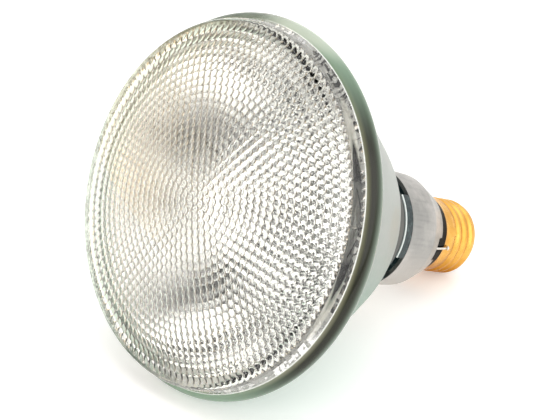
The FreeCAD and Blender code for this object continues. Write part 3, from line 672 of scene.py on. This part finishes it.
def make_bowl():
    """The glass from the exhaust tip, up the outside, over the rim and down the inside."""
    foot = path((OFF_AXIS, EXHAUST_LOW), ((EXHAUST, EXHAUST_LOW + EXHAUST), 8, EXHAUST),
                (EXHAUST, FOOT_HIGH), (FOOT_BORE, FOOT_HIGH), (FOOT_BORE, FOOT_LOW), (FOOT, FOOT_LOW),
                (FOOT, COLLAR_LOW))
    collar = path((COLLAR, COLLAR_LOW), (COLLAR, COLLAR_HIGH - COLLAR_ROUND),
                  ((NECK, COLLAR_HIGH), 6, COLLAR_ROUND))
    body = path((NECK, COLLAR_HIGH + HAIR), ((NECK, NECK_HIGH), 3), (WAIST, 16, FLARE),
                (SHOULDER, 16, BELLY), ((BEAD_CENTRE, RIM_Z - BEAD), 2), ((RIM, RIM_Z), 12, BEAD),
                ((SEAM_OUT, RIM_SEAM_Z), 8, BEAD), (SEAM_OUT, SEAM), (SEAM_BORE, SEAM),
                (SEAM_BORE, MOUTH_LIP_Z), MOUTH, (WAIST_BORE, 14, -BELLY), (WELL, 14, -MIRROR_FOOT),
                (WELL[0], FLOOR_TOP), (OFF_AXIS, FLOOR_TOP))
    angles = bowl_angles(192)
    rows = turned(foot + collar + body, angles).reshape(-1, len(angles), 3)
    reach = lug_radius(angles)
    for row in range(len(foot), len(foot) + len(collar)):
        r = np.hypot(rows[row, :, 0], rows[row, :, 1])
        rows[row, :, :2] *= np.minimum(1, reach / r)[:, None]
    points = rows.reshape(-1, 3)
    last = len(points) - len(angles)
    faces = grid_faces(len(rows), len(angles))
    faces += [tuple(range(len(angles)))[::-1], tuple(range(last, len(points)))]
    piece("bowl_glass", points, faces, BOWL_GLASS, ["reflector_bowl"], 30)


def coat_side(skin):
    """One side of the silvering, from the mouth down to the well, a skin in front of the glass."""
    return path((MOUTH[0] - skin, MOUTH[1] + skin), ((WAIST_BORE[0] - skin, WAIST_BORE[1]), 20, -BELLY),
                ((WELL[0] + skin, WELL[1] + 2 * skin), 20, -MIRROR_FOOT))


def make_silvering():
    coat = coat_side(COAT_FACE) + coat_side(COAT_BACK)[::-1]
    faces = grid_faces(len(coat), COAT_COLUMNS, closed=True)
    points = turned(coat, even_angles(COAT_COLUMNS))
    piece("bowl_silvering", points, faces, SILVER)


# The screw shell: a rolled thread as a right-hand helix that runs out at both ends.

ROOT, RISE, PITCH = 12.33, 0.70, 3.63
THREAD_LOW, THREAD_HIGH, FIRST_CREST = 4.9, 16.0, 6.715
RUN_IN, RUN_OUT, RUN_OUT_END = 1.2, 1.6, 16.4
FLATTENED = 1.12
SHEET = 0.35
LIP, LIP_BORE, LIP_LOW, LIP_TOP, LIP_ROUND = 11.0, 10.65, 4.0, 4.35, 1.6
BAND, BAND_LOW, BAND_HIGH = 12.75, 16.5, 21.7
BAND_BORE, BAND_BORE_HIGH = 12.4, 21.4
FLANGE, FLANGE_EDGE, FLANGE_Z, FLANGE_TOP, FLANGE_ROUND = 13.2, 13.25, 22.05, 22.32, 0.6
SLEEVE, SLEEVE_BORE, SLEEVE_LOW, SLEEVE_TOP = 12.0, 11.65, 22.0, 33.0


def shell_radius(z, angles):
    """Outer radius at height z. The thread is root + rise * (1 + cos(turns)) / 2, rounded on top."""
    turns = (z - FIRST_CREST) / PITCH - angles / TAU
    wave = np.minimum((1 + np.cos(TAU * turns)) / 2 * FLATTENED, 1.0)
    run = np.clip((z - THREAD_LOW) / RUN_IN, 0, 1) * np.clip((RUN_OUT_END - z) / RUN_OUT, 0, 1)
    return ROOT + RISE * wave * run * run * (3 - 2 * run)


def make_shell():
    """The sheet from its lip, up the outside of thread, band and sleeve, and down the inside."""
    count = 180
    angles = even_angles(count)
    up = np.linspace(THREAD_LOW, THREAD_HIGH, 90)[:, None]
    down = up[::-2]
    lip = path((LIP_BORE, LIP_TOP), (LIP_BORE, LIP_LOW), (LIP, LIP_LOW),
               ((ROOT, THREAD_LOW), 5, LIP_ROUND))
    band = path((BAND, BAND_LOW), ((BAND, BAND_HIGH), 3), ((FLANGE, FLANGE_Z), 3, -FLANGE_ROUND),
                (FLANGE_EDGE, FLANGE_TOP), (SLEEVE, FLANGE_TOP), (SLEEVE, SLEEVE_TOP))
    back = path((SLEEVE_BORE, SLEEVE_TOP), (SLEEVE_BORE, SLEEVE_LOW), (BAND_BORE, BAND_BORE_HIGH),
                (BAND_BORE, BAND_LOW))
    points = np.vstack([turned(lip[:-1], angles),
                        ring_points(shell_radius(up, angles), up, angles),
                        turned(band + back, angles),
                        ring_points(shell_radius(down, angles) - SHEET, down, angles)])
    faces = grid_faces(len(points) // count, count, closed=True)
    piece("screw_shell_thread", points, faces, BRASS, ["screw_shell"], 40)


make_lens()
make_bowl()
make_silvering()
make_shell()


# The floor, the lights and the camera. None of them is part of the lamp.

CAMERA_RIGHT, TO_CAMERA = (0.678, 0.735, 0), (0.735, -0.678, 0.0)
CAMERA_FORWARD = (-0.6648, 0.6132, -0.4266)
AIM_Z, CAMERA_ASIDE, CAMERA_DOWN, CAMERA_BACK = 60, 21.996, 4.032, 600.53
FOCAL_PIXELS, PHOTO_WIDTH, SENSOR = 1806.7, 560, 36
FLOOR_HALF = 3.0
PAPER_END = (0.27, 0.36)
WORLD_STRENGTH = 4.0


def paper_look(s):
    """White paper that glows a little. It ends in the dark between the lamp and the camera's feet."""
    white = 1.0 - s.position().dot(TO_CAMERA).ramp(*PAPER_END)
    return {"Base_Color": white.mix((0.03, 0.03, 0.03), (0.9, 0.9, 0.9)),
            "Emission_Color": white.mix((0, 0, 0), (1, 1, 1))}


def make_floor():
    """One square, with the origin in its middle."""
    mesh = bpy.data.meshes.new("floor")
    corners = [(x * FLOOR_HALF, y * FLOOR_HALF, 0) for x, y in ((-1, -1), (1, -1), (1, 1), (-1, 1))]
    mesh.from_pydata(corners, [], [(0, 1, 2, 3)])
    mesh.materials.append(material("floor", paper_look, Roughness=0.35, Specular_IOR_Level=0.25,
                                   Emission_Strength=0.3))
    floor = bpy.data.objects.new("floor", mesh)
    bpy.context.scene.collection.objects.link(floor)


def softbox(name, place, target, width, height, power):
    """A rectangular light aimed at a point."""
    data = bpy.data.lights.new(name, "AREA")
    data.shape, data.size, data.size_y = "RECTANGLE", width, height
    data.energy = power
    lamp = bpy.data.objects.new(name, data)
    lamp.location = place
    lamp.rotation_mode = "QUATERNION"
    lamp.rotation_quaternion = (Vector(target) - Vector(place)).to_track_quat("-Z", "Y")
    bpy.context.scene.collection.objects.link(lamp)


def make_world():
    """A plain white backdrop for the camera, and for the lamp a room with its own light.

    The room has a bright card straight ahead of the lens with the dark round it, a softer white
    light on the right, and a warm one on the left.
    """
    world = bpy.data.worlds.new("room")
    bpy.context.scene.world = world
    world.use_nodes = True
    s = Shader(world.node_tree)
    way = s.node("ShaderNodeTexCoord", output="Generated")
    ahead = way.dot(AXIS)
    card = ahead.ramp(0.93, 0.97)
    gap = ahead.ramp(0.56, 0.64) - card
    right = way.dot((0.860, -0.205, 0.468)).ramp(0.80, 0.93)
    left = way.dot((-0.927, -0.344, 0.150)).ramp(0.80, 0.95)
    glow = card * 2.8 + right * 1.1 + left * 1.0 + 1.15 - gap * 1.14
    white = left.mix((1.0, 0.995, 0.975), (1.0, 0.78, 0.48))
    colour = (glow / WORLD_STRENGTH).mix((0, 0, 0), white)
    room = s.node("ShaderNodeBackground", Color=colour, Strength=WORLD_STRENGTH)
    plain = s.node("ShaderNodeBackground", Color=(1.0, 1.0, 1.0), Strength=1.0)
    seen = s.node("ShaderNodeLightPath", output="Is Camera Ray")
    s.node("ShaderNodeOutputWorld", Surface=s.node("ShaderNodeMixShader", seen, room, plain))


def make_camera():
    """The camera of the picture: 47.3 degrees round from the front and 25.25 degrees up."""
    right = Vector(CAMERA_RIGHT).normalized()
    forward = Vector(CAMERA_FORWARD).normalized()
    down = forward.cross(right).normalized()
    aim = Vector(TIP + AXIS * AIM_Z * MM)
    place = aim - (right * CAMERA_ASIDE + down * CAMERA_DOWN + forward * CAMERA_BACK) * MM
    data = bpy.data.cameras.new("camera")
    data.sensor_width = SENSOR
    data.lens = FOCAL_PIXELS / PHOTO_WIDTH * SENSOR
    data.clip_start, data.clip_end = 0.01, 20
    camera = bpy.data.objects.new("camera", data)
    turn = Matrix((right, -down, -forward)).transposed()
    camera.matrix_world = Matrix.Translation(place) @ turn.to_4x4()
    bpy.context.scene.collection.objects.link(camera)
    bpy.context.scene.camera = camera


make_floor()
make_world()
softbox("overhead", (0.1, 0.2, 1.4), (0, 0, 0), 1.4, 1.4, 4)
softbox("left", (-1.2, -0.9, 0.9), (0, 0, 0.05), 0.8, 0.8, 2)
softbox("right", (1.3, 0.7, 0.9), (0, 0, 0.05), 0.6, 0.9, 1)
make_camera()
bpy.context.scene.view_settings.view_transform = "Standard"
